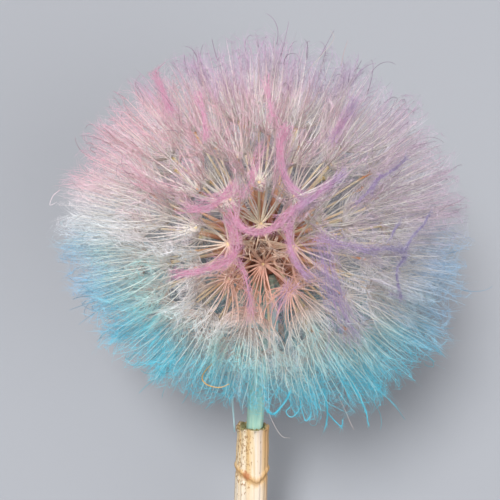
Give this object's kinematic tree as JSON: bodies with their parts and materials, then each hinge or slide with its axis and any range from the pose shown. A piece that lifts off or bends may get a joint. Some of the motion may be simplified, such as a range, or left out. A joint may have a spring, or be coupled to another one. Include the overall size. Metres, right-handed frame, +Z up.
{
  "type": "dandelion seed head",
  "caption": "Ball-shaped seed head of dyed, webbed parachutes on long beaks, lying on its side with its stem set in the sawn top of a dried reed stalk.",
  "frame": {"origin": "centre of the bounding box's footprint, on the surface that the object lies on", "axes": "+Y from the stalk's lower end towards the ball, +Z up from the surface, +X to the right seen from above with the ball at the top"},
  "size_m": [0.113, 0.1978, 0.106],
  "materials": {
    "pappus": "dyed plant hair, pink over white over cyan, with lilac on one side",
    "achene": "dry seed coat and beak, tan to orange",
    "bract": "dried leaf, dyed pale blue",
    "stem": "dried soft stem, dyed pale cyan-green, satin",
    "reed": "dried ribbed reed, tan with brown specks"
  },
  "bodies": {
    "root": {"seed_head": "pappus", "bracts": "bract", "stem": "stem", "stalk": "reed"}
  },
  "joints": []
}
